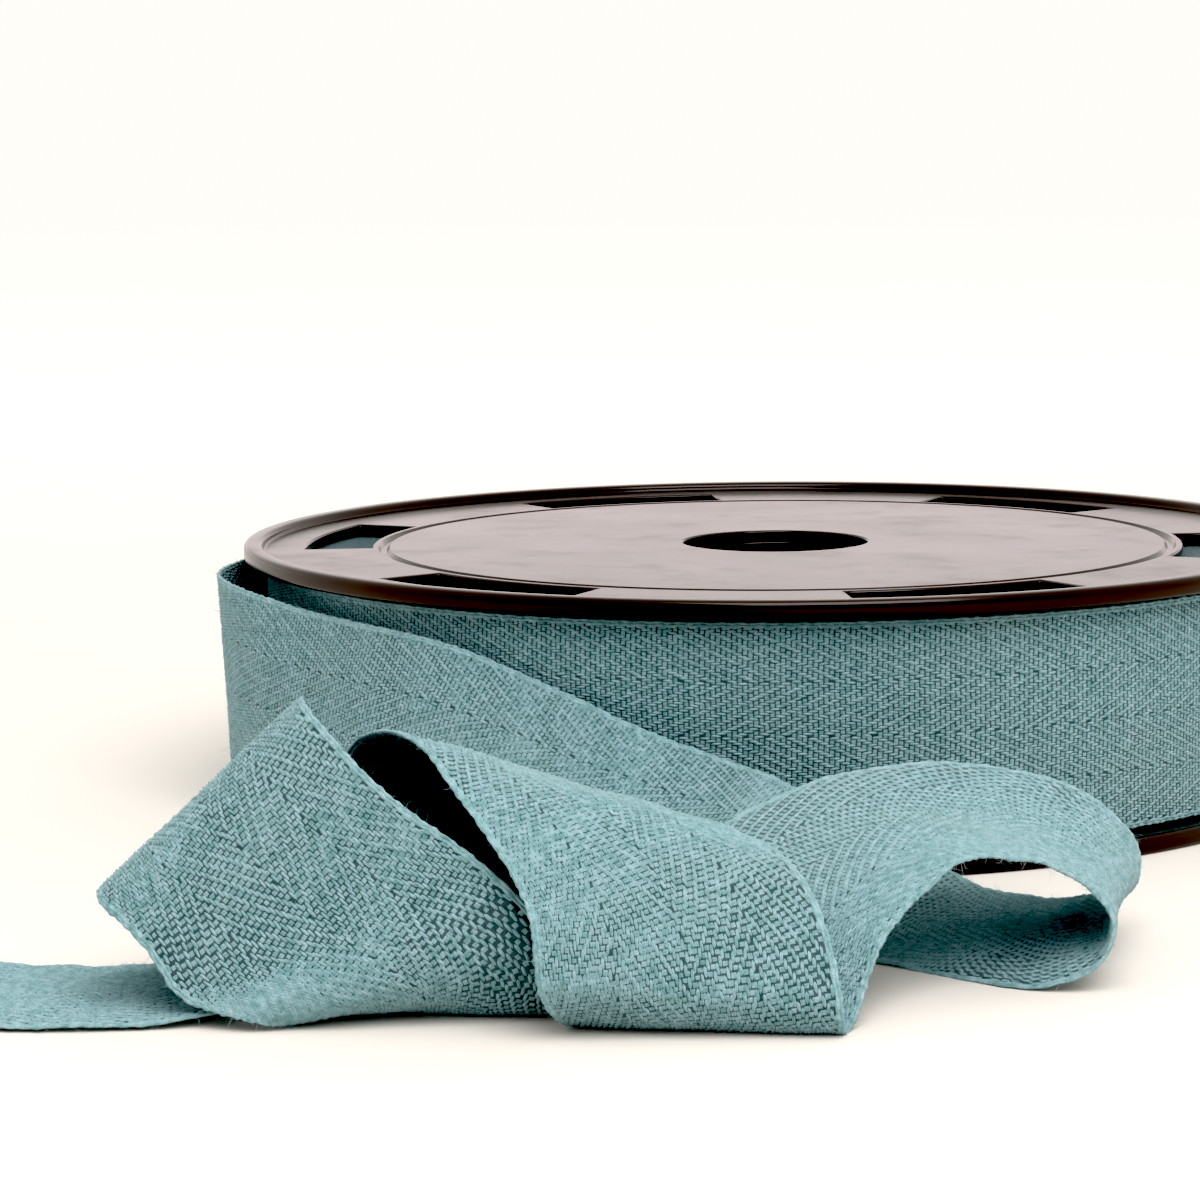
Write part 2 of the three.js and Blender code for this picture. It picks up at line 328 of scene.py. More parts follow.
def round_plate(lower, upper, window_inner, window_outer, windows):
    """lower and upper are profiles of (radius, height) from the bore to the edge."""
    rings = [[0, *p] for p in lower] + [[1, *p] for p in upper]
    angles = np.arange(SPOKES) * 2 * math.pi / SPOKES
    points = [(r * math.cos(a), r * math.sin(a), z) for _, r, z in rings for a in angles]
    open_spokes = set()
    for start, end in windows:
        first, last = (round(a * SPOKES / 360) for a in (start, end))
        open_spokes.update(k % SPOKES for k in range(first, last))

    def is_open(ring, spoke):
        inner, outer = rings[ring][1], rings[ring + 1][1]
        between = inner >= window_inner - HAIR and outer <= window_outer + HAIR
        return between and spoke in open_spokes

    def corner(ring, spoke):
        return ring * SPOKES + spoke % SPOKES

    faces = []
    count = len(lower)
    for side, start, end in ((0, 0, count - 1), (1, count, len(rings) - 1)):
        for ring in range(start, end):
            for spoke in range(SPOKES):
                if is_open(ring, spoke):
                    continue
                quad = [corner(ring, spoke), corner(ring + 1, spoke)]
                quad += [corner(ring + 1, spoke + 1), corner(ring, spoke + 1)]
                faces.append(quad if side else quad[::-1])
    low_in = [p[0] for p in lower].index(window_inner)
    low_out = [p[0] for p in lower].index(window_outer)
    up_in = count + [p[0] for p in upper].index(window_inner)
    up_out = count + [p[0] for p in upper].index(window_outer)
    for spoke in range(SPOKES):
        around = (spoke, spoke + 1)
        walls = [(0, count, False), (count - 1, len(rings) - 1, True)]
        if spoke in open_spokes:
            walls += [(low_in, up_in, True), (low_out, up_out, False)]
        for low, up, outward in walls:
            wall = [corner(low, around[0]), corner(low, around[1])]
            wall += [corner(up, around[1]), corner(up, around[0])]
            faces.append(wall if outward else wall[::-1])
        starts = spoke in open_spokes and (spoke - 1) % SPOKES not in open_spokes
        ends = spoke not in open_spokes and (spoke - 1) % SPOKES in open_spokes
        if starts or ends:
            side = [corner(low_in, spoke), corner(low_out, spoke)]
            side += [corner(up_out, spoke), corner(up_in, spoke)]
            faces.append(side[::-1] if starts else side)
    return np.array(points), faces


def soften(made, width):
    bevel = made.modifiers.new("softened_edges", "BEVEL")
    bevel.width = width * MM
    bevel.segments = 2
    bevel.limit_method = "ANGLE"
    bevel.angle_limit = math.radians(BEVEL_FROM)


# %% The two flanges, one moulding used twice
FLANGE_THICKNESS = (flange_box[1][2] - flange_box[0][2]) / MM
FLANGE_SOFTNESS = 0.22
SMOOTH_UNDER = 40
RIM_WIDTH = 2.1
RIM_ROUND = 0.6
RIM_STEP = 0.35
DISC_RECESS = 1.0
DISC_ROUND = 0.4
SPINDLE_RADIUS = 11.3
GROOVE_RADIUS = 48.0
GROOVE_HALF = 0.7
GROOVE_DEPTH = 0.4
WINDOW_INNER = 49.5
WINDOW_OUTER = 57.5
WINDOWS = 6
WINDOW_FIRST = 10
WINDOW_SPREAD = 28
SIXTH = 360 // WINDOWS


def arc(middle, radius, start, end, steps=4):
    """Points of (radius, height) round a middle, with the two end points."""
    turn = np.radians(np.linspace(start, end, steps + 1))
    return [(middle[0] + radius * math.cos(t), middle[1] + radius * math.sin(t)) for t in turn]


rim_inner = REEL_RADIUS - RIM_WIDTH
sunk_face = [
    (SPINDLE_RADIUS, DISC_RECESS),
    (GROOVE_RADIUS - GROOVE_HALF, DISC_RECESS),
    (GROOVE_RADIUS - GROOVE_HALF / 2, DISC_RECESS + GROOVE_DEPTH),
    (GROOVE_RADIUS + GROOVE_HALF / 2, DISC_RECESS + GROOVE_DEPTH),
    (GROOVE_RADIUS + GROOVE_HALF, DISC_RECESS),
    (WINDOW_INNER, DISC_RECESS),
    (WINDOW_OUTER, DISC_RECESS),
    *arc((rim_inner - RIM_ROUND, DISC_RECESS - DISC_ROUND), DISC_ROUND, 90, 25, 3),
    *arc((rim_inner + RIM_STEP, RIM_ROUND), RIM_ROUND, 190, 270),
    *arc((REEL_RADIUS - RIM_ROUND, RIM_ROUND), RIM_ROUND, 270, 360),
]
tape_face = [
    (SPINDLE_RADIUS, FLANGE_THICKNESS),
    (WINDOW_INNER, FLANGE_THICKNESS),
    (WINDOW_OUTER, FLANGE_THICKNESS),
    *arc((REEL_RADIUS - RIM_ROUND, FLANGE_THICKNESS - RIM_ROUND), RIM_ROUND, 90, 0),
]
windows = []
for k in range(WINDOWS):
    middle = WINDOW_FIRST + SIXTH * k
    windows.append((middle - WINDOW_SPREAD / 2, middle + WINDOW_SPREAD / 2))
plate, plate_faces = round_plate(sunk_face, tape_face, WINDOW_INNER, WINDOW_OUTER, windows)
turned_over = plate * (1, -1, -1) + (0, 0, REEL_HEIGHT)
bottom_flange = piece("bottom_flange", plate, plate_faces, plastic, SMOOTH_UNDER)
top_flange = piece("top_flange", turned_over, plate_faces, plastic, SMOOTH_UNDER)
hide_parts("reel_bottom_flange")
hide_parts("reel_top_flange")
for made in (bottom_flange, top_flange):
    soften(made, FLANGE_SOFTNESS)
print("flange faces", len(plate_faces))

# %% The hub between the flanges
HUB_RADIUS = 19.0
HUB_WALL = 1.6
HUB_SOFTNESS = 0.2
RIB_HALF = 6
hub_low, hub_high = (corner[2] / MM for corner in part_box("reel_core"))
hub_rings = (SPINDLE_RADIUS, SPINDLE_RADIUS + HUB_WALL, HUB_RADIUS - HUB_WALL, HUB_RADIUS)
pockets = [(SIXTH * k + RIB_HALF, SIXTH * (k + 1) - RIB_HALF) for k in range(WINDOWS)]
hub_points, hub_faces = round_plate(
    [(r, hub_low) for r in hub_rings],
    [(r, hub_high) for r in hub_rings],
    hub_rings[1],
    hub_rings[2],
    pockets,
)
hub = piece("hub", hub_points, hub_faces, plastic, SMOOTH_UNDER)
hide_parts("reel_core")
soften(hub, HUB_SOFTNESS)
print("hub", hub_low, "to", hub_high, "mm")

# %% [markdown]
# ## How the loose end lies
#
# A tape bends but doesn't stretch. Its route is a short table of sections, each the
# place of the selvedge that is upper on the reel and of the lower one. A smooth curve
# goes through them, and each line across is brought back to the true width of the
# tape, so the cloth never swells or shrinks.

# %% The sections of the loose end
# Columns: upper selvedge x, y, z, lower selvedge x, y, z, in reel millimetres.
LEAVES_THE_REEL = [
    (-61.8, 11, 27.6, -61.8, 11, 2.6),
    (-67.3, -8, 27.3, -65.5, -10, 2.4),
    (-64.5, -21, 26.8, -63.5, -27, 2),
    (-56.5, -32, 25.6, -56, -41, 1.2),
    (-38.3, -51.5, 24, -43.6, -60, 0.6),
]
LIES_DOWN_TO_THE_RIGHT = [
    (-20.5, -61, 16.9, -30.5, -74.5, 0.6),
    (-9.2, -66, 13.2, -20, -84, 0.6),
    (-1.3, -73, 10.7, -9, -92, 0.6),
    (8, -77, 6.5, -2, -98, 0.6),
    (17.3, -82.5, 2.7, 4.1, -102.9, 0.6),
]
RIGHT_LOOP = [
    (26.3, -91, 3.5, 12, -109.5, 0.6),
    (30, -94.5, 5, 19, -114.5, 0.8),
    (30.6, -93, 9, 25, -115, 3),
    (26.8, -92, 13.2, 25.6, -114.5, 7.2),
    (16, -90.5, 16.5, 20.5, -112.5, 11.5),
    (3, -95, 16.5, 12.8, -114.5, 12.8),
    (-8, -101, 14, 7.2, -119, 10.5),
]
MIDDLE_CURL = [
    (-16, -109, 8.5, 2.8, -124, 6),
    (-20, -118, 3, 0.5, -128.5, 2),
    (-24, -128, 0.6, -1, -131, 0.6),
    (-26.2, -133.5, 4, -1.5, -133.5, 3),
    (-27, -132, 12, -3, -131, 9),
    (-31.3, -127, 19.2, -6, -127, 14),
    (-37.6, -119, 24.4, -10.5, -120, 16.5),
    (-44, -108, 23, -17, -111, 16),
    (-47, -103, 15, -23.5, -104, 12),
    (-47.5, -103.5, 6, -24, -105, 4.5),
]
LEFT_CURL = [
    (-49, -111, 0.9, -26, -113, 0.8),
    (-49, -121, 0.6, -27.5, -124, 0.8),
    (-48, -127, 1, -27, -127.8, 5),
    (-51.8, -128.3, 2.3, -30, -128.5, 9.7),
    (-57.8, -126, 3.6, -35, -126.8, 14.6),
    (-61.8, -124, 6.5, -40.3, -125.3, 19.5),
    (-65, -122, 9, -45.5, -122.5, 24.5),
    (-67, -119.5, 11, -49.3, -118.5, 27.3),
    (-66.3, -114, 11.5, -50.5, -113.5, 26.8),
    (-64.3, -108.5, 8, -50.5, -108, 22.5),
]
TAIL = [
    (-62, -102.5, 3.2, -48.5, -107, 22),
    (-60, -100, 1.2, -46.5, -109.8, 20.3),
    (-59.8, -99.8, 0.7, -47, -114.5, 17.5),
    (-61, -101, 0.6, -49, -120.3, 11.5),
    (-63, -102.8, 0.6, -53, -123.6, 3),
    (-68, -103.3, 0.6, -59, -126, 1),
    (-77, -103, 0.6, -72, -127, 0.9),
    (-90, -100, 0.6, -88, -124.5, 0.6),
]
LIES_FROM = 112
LIES_TO = 162
LIES_STEP = 10
LIES_RADIUS = 62.47

on_the_reel = []
for angle in range(LIES_FROM, LIES_TO + 1, LIES_STEP):
    x = LIES_RADIUS * math.cos(math.radians(angle))
    y = LIES_RADIUS * math.sin(math.radians(angle))
    on_the_reel.append((x, y, TAPE_BOTTOM + TAPE_WIDTH, x, y, TAPE_BOTTOM))
sections = on_the_reel + LEAVES_THE_REEL + LIES_DOWN_TO_THE_RIGHT + RIGHT_LOOP
sections += MIDDLE_CURL + LEFT_CURL + TAIL
print("sections", len(sections))


# %% A smooth curve through the sections
def smooth_rows(rows, steps):
    """A centripetal Catmull-Rom curve through rows of six numbers."""
    rows = np.asarray(rows, float)
    rows = np.vstack([2 * rows[0] - rows[1], rows, 2 * rows[-1] - rows[-2]])
    out = []
    for p0, p1, p2, p3 in zip(rows, rows[1:], rows[2:], rows[3:]):
        t1 = math.sqrt(np.linalg.norm(p1 - p0))
        t2 = t1 + math.sqrt(np.linalg.norm(p2 - p1))
        t3 = t2 + math.sqrt(np.linalg.norm(p3 - p2))
        t = np.linspace(t1, t2, steps, endpoint=False)[:, None]
        a1 = p0 + (p1 - p0) * t / t1
        a2 = p1 + (p2 - p1) * (t - t1) / (t2 - t1)
        a3 = p2 + (p3 - p2) * (t - t2) / (t3 - t2)
        b1 = a1 + (a2 - a1) * t / t2
        b2 = a2 + (a3 - a2) * (t - t1) / (t3 - t1)
        out.append(b1 + (b2 - b1) * (t - t1) / (t2 - t1))
    return np.vstack(out + [rows[-2:-1]])


def even_rows(rows, step):
    """The same rows at equal steps of the mean length of the two selvedges."""
    moves = np.diff(rows, axis=0)
    upper = np.linalg.norm(moves[:, :3], axis=1)
    lower = np.linalg.norm(moves[:, 3:], axis=1)
    along = np.concatenate([[0], np.cumsum((upper + lower) / 2)])
    at = np.linspace(0, along[-1], round(along[-1] / step) + 1)
    return at, np.column_stack([np.interp(at, along, column) for column in rows.T])


def running_mean(values, reach):
    padded = np.pad(values, reach, mode="edge")
    return np.convolve(padded, np.ones(2 * reach + 1) / (2 * reach + 1), mode="valid")


# %% Bring every line across to the true width
LINE_STEP = 3.0
LINE_REACH = 3
COARSE = 12
FINER = 3


def unit(vectors):
    return vectors / np.linalg.norm(vectors, axis=-1, keepdims=True)


def middle_and_across(rows):
    """The middle of each line, its run across, its slip along the tape and its square width."""
    middles = (rows[:, :3] + rows[:, 3:]) / 2
    across = rows[:, :3] - rows[:, 3:]
    travel = unit(np.gradient(middles, axis=0))
    slip = np.sum(across * travel, axis=1)
    square = np.linalg.norm(across - slip[:, None] * travel, axis=1)
    return middles, across, slip, square


coarse_at, coarse_rows = even_rows(smooth_rows(sections, COARSE), LINE_STEP)
middles, across, slip, square = middle_and_across(coarse_rows)
across = across * running_mean(TAPE_WIDTH / square, LINE_REACH)[:, None]
true_rows = np.hstack([middles + across / 2, middles - across / 2])
middles, across, slip, square = middle_and_across(smooth_rows(true_rows, FINER))
line_at = np.interp(np.arange(len(middles)) / FINER, np.arange(len(coarse_at)), coarse_at)
slant = running_mean(slip / square, LINE_REACH * FINER)
LOOSE_LENGTH = line_at[-1]
print(f"loose end {LOOSE_LENGTH:.1f} mm long, {len(middles)} lines across")

# %% [markdown]
# ## A map from flat cloth to where it lies
#
# The weave is laid out on flat cloth, as on the loom, and then carried to where the
# tape lies. For that, each point of the flat tape, so far along and so far across,
# needs its place and three directions: along, across and out of the cloth. The loose
# end and the last turn on the reel get one such map each, and both share the count
# of the threads, so the pattern runs on from one to the other.


# %% Where a point of the loose end lies
# In millimetres, but for LINES_AHEAD, which is a share of a line's step.
THREAD_ROOM = 0.27
FLOOR_ROOM = 0.57
SETTLES_WITHIN = 1.5
HALF_WIDTH = 12.5
SLACK_FROM = 75
SLACK_GROWS_OVER = 60
LINES_AHEAD = 0.6
MM_ASIDE = 0.5


def settle(points):
    """Lets the cloth down to the floor: the model's sheet is thicker than the cloth."""
    above = np.maximum(points[..., 2], FLOOR_ROOM) - FLOOR_ROOM
    points[..., 2] = FLOOR_ROOM + above - (FLOOR_ROOM - THREAD_ROOM) * np.exp(-above / SETTLES_WITHIN)
    return points


def ripple(along, over):
    """Small waves of slack cloth, none by the reel: two all over, one towards the edges."""
    wave = 0.10 * np.sin(along * 0.46 + 0.9 * np.sin(over * 0.21))
    wave += 0.07 * np.sin(along * 0.83 + over * 0.35 + 1.3)
    wave += 0.16 * (over / HALF_WIDTH) ** 2 * np.sin(along * 0.29 + 0.6 * np.sign(over))
    return wave * np.clip((along - SLACK_FROM) / SLACK_GROWS_OVER, 0, 1)


def loose_point(line, over):
    whole = np.clip(np.floor(line).astype(int), 0, len(middles) - 2)
    part = (line - whole)[..., None]
    middle = middles[whole] + (middles[whole + 1] - middles[whole]) * part
    aside = across[whole] + (across[whole + 1] - across[whole]) * part
    return settle(middle + aside * (over / TAPE_WIDTH)[..., None])


def loose_lie(along, over):
    """Place and directions of points of the loose end, from flat along and over."""
    along, over = np.broadcast_arrays(np.asarray(along, float), np.asarray(over, float))
    line = np.empty(along.shape)
    for value in np.unique(over):
        here = over == value
        reached = np.maximum.accumulate(line_at + value * slant)
        line[here] = np.interp(along[here], reached, np.arange(len(line_at)))
    ahead = loose_point(np.minimum(line + LINES_AHEAD, len(middles) - 1.0), over)
    behind = loose_point(np.maximum(line - LINES_AHEAD, 0.0), over)
    forward = unit(ahead - behind)
    up = loose_point(line, over + MM_ASIDE) - loose_point(line, over - MM_ASIDE)
    out = unit(np.cross(forward, up))
    sideways = np.cross(out, forward)
    place = loose_point(line, over) + out * ripple(along, over)[..., None]
    return place, forward, sideways, out


# %% Where a point of the last turn on the reel lies
CLOTH = 0.56
UNDER_LOOSE_END = 0.04
FULL_TURN = math.radians(360)
seam_radius = LIES_RADIUS + CLOTH / 2
last_turn = FULL_TURN * (seam_radius - CLOTH / 2)


def wound_radius(turned):
    """The outside of the winding, turned radians back from where the loose end begins."""
    return seam_radius - UNDER_LOOSE_END - CLOTH * turned / FULL_TURN


def wound_lie(along, over):
    """As loose_lie, for the last turn: along is below 0, back from the loose end."""
    along, over = np.broadcast_arrays(np.asarray(along, float), np.asarray(over, float))
    turned = -along / (seam_radius - CLOTH / 2)
    angle = math.radians(LIES_FROM) - turned
    out = np.stack([np.cos(angle), np.sin(angle), np.zeros_like(angle)], axis=-1)
    forward = np.stack([-np.sin(angle), np.cos(angle), np.zeros_like(angle)], axis=-1)
    place = out * (wound_radius(turned) - CLOTH / 2)[..., None]
    place[..., 2] = TAPE_MIDDLE + over
    sideways = np.cross(out, forward)
    return place, forward, sideways, out


print(f"last turn {last_turn:.0f} mm round")

# %% [markdown]
# ## The ground cloth
#
# Between the raised floats one looks down on the crossing yarns, which lie in shade.
# A thin sheet stands for them: closed, with its own thickness, and painted darker
# than the floats that stand on it, as painted shade for the hollows.

# %% The ground of the loose end
GROUND = 0.20
GROUND_CELLS = 12
EDGE = 12.32


def grid_faces(rows, columns, first=0, flip=False):
    corner = first + np.arange(rows * columns).reshape(rows, columns)
    quads = [corner[:-1, :-1], corner[1:, :-1], corner[1:, 1:], corner[:-1, 1:]]
    faces = np.stack([q.ravel() for q in quads], axis=1)
    return faces[:, ::-1] if flip else faces


def sheet_mesh(lie, along, over, thickness):
    """A closed sheet: an outer and an inner grid, joined all round."""
    rows, columns = len(along), len(over)
    place, _, _, out = lie(*np.meshgrid(along, over, indexing="ij"))
    half = out * thickness / 2
    points = np.concatenate([(place + half).reshape(-1, 3), (place - half).reshape(-1, 3)])
    inner = rows * columns
    faces = [grid_faces(rows, columns), grid_faces(rows, columns, inner, True)]
    corner = np.arange(inner).reshape(rows, columns)
    around = np.concatenate([corner[0, :], corner[1:, -1], corner[-1, -2::-1], corner[-2:0:-1, 0]])
    after = np.roll(around, -1)
    faces.append(np.stack([around, after, after + inner, around + inner], axis=1))
    return points, np.vstack(faces)


ground_over = np.linspace(-EDGE, EDGE, GROUND_CELLS + 1)
ground_along = np.linspace(0, LOOSE_LENGTH, round(LOOSE_LENGTH) + 1)
ground_points, ground_faces = sheet_mesh(loose_lie, ground_along, ground_over, GROUND)
loose_cloth = piece("loose_cloth", ground_points, ground_faces, shaded_ground_yarn)
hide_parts("tape_loose_end")
print("ground of the loose end", len(ground_faces), "faces")

# %% [markdown]
# ## The floats
#
# Herringbone twill shows rows of short raised floats: each warp end passes over two
# picks, then under two, and its neighbour does the same one pick later, so the floats
# climb in slanting ribs. Between the ribs the weft shows as small square knuckles.
# Four bands across the tape lean to and fro. As bump this would look printed on, so
# each float and each knuckle is a small grain of its own, laid out on flat cloth and
# carried to its place. The grains are open below, where they are sunk in the ground.

# %% The draft: where the floats are on flat cloth
ENDS = 88
BANDS = 4
PICK = 0.58
REPEAT = 4 * PICK
ENDS_IN_BAND = ENDS // BANDS
WOVEN_HALF = 11.75
CLEAR_OF_ENDS = 0.3
END_PITCH = 2 * WOVEN_HALF / (ENDS - 1)
end_over = np.linspace(-WOVEN_HALF, WOVEN_HALF, ENDS)


def lean_of(inside, band):
    """How many picks later this end rises than the first end of its band."""
    return inside if band % 2 == 0 else ENDS_IN_BAND + 1 - inside


def repeats(start, stop, shift):
    shift = shift % 4 * PICK
    first = math.ceil((start + CLEAR_OF_ENDS - shift) / REPEAT)
    last = math.floor((stop - CLEAR_OF_ENDS - shift) / REPEAT)
    return np.arange(first, last + 1) * REPEAT + shift


def draft(start, stop, band, inner, weft=False):
    """Along and over of each warp float, or weft knuckle, in one band of one face."""
    along, over = [], []
    turned_over = 2 if inner else 0
    for inside in range(ENDS_IN_BAND):
        lean = lean_of(inside, band) + turned_over
        place = end_over[band * ENDS_IN_BAND + inside]
        if weft:
            lean = lean + 2 + (0.5 if band % 2 == 0 else -0.5)
            place = place + END_PITCH / 2
        at = repeats(start, stop, lean)
        along.append(at)
        over.append(np.full(len(at), place))
    return np.concatenate(along), np.concatenate(over)


# %% The grains: a warp float and a weft knuckle
# Columns: along, over and out, in shares of the grain's length, width and height.
FLOAT_POINTS = np.array([
    (-0.5, 0, 0),
    (0.5, 0, 0),
    (-0.27, -0.5, 0),
    (-0.24, 0, 1),
    (-0.27, 0.5, 0),
    (0.27, -0.5, 0),
    (0.24, 0, 1),
    (0.27, 0.5, 0),
])
FLOAT_FACES = np.array([
    (0, 2, 3), (0, 3, 4), (1, 6, 5), (1, 7, 6),
    (2, 5, 6), (2, 6, 3), (3, 6, 7), (3, 7, 4),
])
KNUCKLE_POINTS = np.array([
    (-0.5, -0.4, 0),
    (0.5, -0.4, 0),
    (0.5, 0.4, 0),
    (-0.5, 0.4, 0),
    (0, 0, 1),
])
KNUCKLE_FACES = np.array([(0, 1, 4), (1, 2, 4), (2, 3, 4), (3, 0, 4)])
# Columns: length along, width over and height out of the ground, in millimetres.
FLOAT_SIZE = (1.22, 0.34, 0.22)
KNUCKLE_SIZE = (0.54, 0.66, 0.17)
SUNK = 0.03
# How uneven the grains are: shares of the three sizes, then turn and place.
SIZE_SPREADS = (0.06, 0.10, 0.22)
TURN_SPREAD = 0.07
PLACE_SPREAD = 0.016


def grains(lie, along, over, face, seed, shape, faces, size):
    """Grains on one face of the cloth: face is 1 for the outer one, -1 for the inner."""
    chance = np.random.default_rng(seed)
    count = len(along)
    place, forward, sideways, out = lie(along, over)
    out = out * face
    sideways = sideways * face
    long, wide, high = (
        size[k] * chance.uniform(1 - spread, 1 + spread, count)
        for k, spread in enumerate(SIZE_SPREADS)
    )
    askew = chance.normal(0, TURN_SPREAD, count)[:, None]
    forward = unit(forward + sideways * askew)
    aside = chance.normal(0, PLACE_SPREAD, (count, 1)) * sideways
    root = place + out * (GROUND / 2 - SUNK) + aside
    points = np.empty((count, len(shape), 3))
    for k, (a, b, c) in enumerate(shape):
        points[:, k] = root + forward * (a * long)[:, None]
        points[:, k] += sideways * (b * wide)[:, None] + out * (c * high)[:, None]
    faces = faces[None] + (np.arange(count) * len(shape))[:, None, None]
    return points.reshape(-1, 3), faces.reshape(-1, 3)


def woven(name, lie, start, stop, bands, inner, seed):
    """The floats and knuckles of some bands of one face, as two pieces."""
    made = []
    kinds = (("floats", FLOAT_POINTS, FLOAT_FACES, FLOAT_SIZE, warp_yarn),
             ("knuckles", KNUCKLE_POINTS, KNUCKLE_FACES, KNUCKLE_SIZE, weft_yarn))
    for k, (kind, shape, faces, size, material) in enumerate(kinds):
        parts = [draft(start, stop, band, inner, kind == "knuckles") for band in bands]
        at = np.concatenate([p[0] for p in parts])
        over = np.concatenate([p[1] for p in parts])
        face = -1 if inner else 1
        points, corners = grains(lie, at, over, face, seed + k, shape, faces, size)
        made.append(piece(f"{name}_{kind}", points, corners, material))
    return made


# %% The floats and knuckles of the loose end
LOOSE_SEED = 20
WOUND_SEED = 60

woven_pieces = []
for inner, side in ((False, "outer"), (True, "inner")):
    for half, bands in enumerate(((0, 1), (2, 3))):
        name = f"loose_{side}_{half + 1}"
        seed = LOOSE_SEED + 4 * half + (2 if inner else 0)
        woven_pieces += woven(name, loose_lie, 0, LOOSE_LENGTH, bands, inner, seed)
print("faces of the loose weave", sum(len(o.data.polygons) for o in woven_pieces))

# %% [markdown]
# ## The winding
#
# On the reel only the last turn shows its face, and the edges of the turns below it
# show through the windows as fine rings. The winding is one spiral: each turn lies a
# cloth's thickness further out, and the last ends in a small step where the loose end
# begins.

# %% The body of the winding
TURN_STEPS = 216
RIDGED_FROM = 48.5
RIDGED_TURNS = round((seam_radius - RIDGED_FROM) / CLOTH)
RIDGE_DEPTH = 0.3
CREST_DEPTH = 0.03
HUB_CLEARANCE = 0.3
UNDER_THREADS = 0.17


def winding_profile(outside):
    """Points of (radius, height) from the hub up the top face, and back below."""
    face = [(HUB_RADIUS + HUB_CLEARANCE, 0.0)]
    for k in range(RIDGED_TURNS, 0, -1):
        face.append((outside - k * CLOTH, RIDGE_DEPTH))
        face.append((outside - (k - 0.5) * CLOTH, CREST_DEPTH))
    face.append((outside, RIDGE_DEPTH))
    top = [(r, TAPE_BOTTOM + TAPE_WIDTH - down) for r, down in face]
    return top + [(r, TAPE_BOTTOM + down) for r, down in reversed(face)]


profiles = []
for back in np.linspace(FULL_TURN, 0, TURN_STEPS + 1):
    angle = math.radians(LIES_FROM) - back
    across_way = (math.cos(angle), math.sin(angle))
    outline = winding_profile(wound_radius(back) - UNDER_THREADS)
    profiles.append([(r * across_way[0], r * across_way[1], z) for r, z in outline])
winding_points = np.array(profiles)
rows, columns = winding_points.shape[:2]
corner = np.arange(rows * columns).reshape(rows, columns)
inner_wall = [corner[:-1, -1], corner[1:, -1], corner[1:, 0], corner[:-1, 0]]
winding_faces = grid_faces(rows, columns).tolist()
winding_faces += np.stack(inner_wall, axis=1).tolist()
winding_faces.append(corner[0].tolist())
winding_faces.append(corner[-1][::-1].tolist())
winding_points = winding_points.reshape(-1, 3)
# The winding's body wears the ground's painted shade: its turn edges and the gaps between the floats
# are painted dark.
wound_tape = piece("wound_tape", winding_points, winding_faces, shaded_ground_yarn, 60)
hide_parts("tape_winding")
print("winding", len(winding_faces), "faces")

# %% The floats and knuckles of the last turn
wound_pieces = woven("wound", wound_lie, -last_turn, 0, range(BANDS), False, WOUND_SEED)
print("faces of the wound weave", sum(len(o.data.polygons) for o in wound_pieces))

# %% [markdown]
# ## The selvedges
#
# Along both edges the weft turns back round a few thicker ends, so the edge is a
# corded, beaded line. Each cord is a tube whose radius swells at every turn of the
# weft.


# %% A beaded cord along the tape
BEAD = 2 * PICK
CORD_SIDES = 5
CORD_STEP = BEAD / 4
CORD_ENDS_SHORT = 0.2
NECK = 0.62
SWELL = 0.5


def cord(lie, start, stop, over, radius, phase):
    """A tube along the tape: phase shifts its beads by a share of one."""
    at = np.arange(start + CORD_ENDS_SHORT, stop - CORD_ENDS_SHORT, CORD_STEP)
    place, _, sideways, out = lie(at, np.full(len(at), over))
    swell = np.abs(np.sin(math.pi * (at / BEAD + phase)))
    uneven = 1 + 0.10 * np.sin(at * 1.7 + over) + 0.07 * np.sin(at * 4.3)
    size = radius * (NECK + SWELL * swell) * uneven
    middle = place + sideways * (0.04 * np.sin(at * 2.9))[:, None]
    points = []
    for k in range(CORD_SIDES):
        turn = 2 * math.pi * k / CORD_SIDES
        ray = sideways * math.cos(turn) + out * math.sin(turn)
        points.append(middle + ray * size[:, None])
    points = np.stack(points, axis=1)
    rows = len(at)
    corner = np.arange(rows * CORD_SIDES).reshape(rows, CORD_SIDES)
    nearby = np.roll(corner, -1, axis=1)
    quads = [corner[:-1], nearby[:-1], nearby[1:], corner[1:]]
    faces = np.stack([q.ravel() for q in quads], axis=1)[:, ::-1].tolist()
    faces.append(corner[0].tolist())
    faces.append(corner[-1][::-1].tolist())
    return points.reshape(-1, 3), faces


# %% The cords of each selvedge
# Columns: how far inside the edge each cord lies, and its radius.
CORDS = [(0.0, 0.23), (0.30, 0.27)]


def selvedge(name, lie, start, stop, side):
    """Both cords of one edge: side is 1 for the upper one, -1 for the lower."""
    points, faces, first = [], [], 0
    for k, (inset, radius) in enumerate(CORDS):
        tube, quads = cord(lie, start, stop, side * (EDGE - inset), radius, 0.5 * k)
        points.append(tube)
        faces += [[first + corner for corner in quad] for quad in quads]
        first += len(tube)
    return piece(name, np.vstack(points), faces, warp_yarn)


selvedges = [
    selvedge("loose_selvedge_upper", loose_lie, 0, LOOSE_LENGTH, 1),
    selvedge("loose_selvedge_lower", loose_lie, 0, LOOSE_LENGTH, -1),
]
wound_selvedges = [
    selvedge("wound_selvedge_upper", wound_lie, -last_turn, 0, 1),
    selvedge("wound_selvedge_lower", wound_lie, -last_turn, 0, -1),
]
print("selvedge faces", sum(len(o.data.polygons) for o in selvedges + wound_selvedges))

# %% [markdown]
# ## Stray fibres
#
# Cotton is spun from short hairs, and their ends stand off every surface. They are
# too thin to count one by one, but without them the tape's outline is too clean. Each
# is a thin bent spike, set at random with a fixed seed.


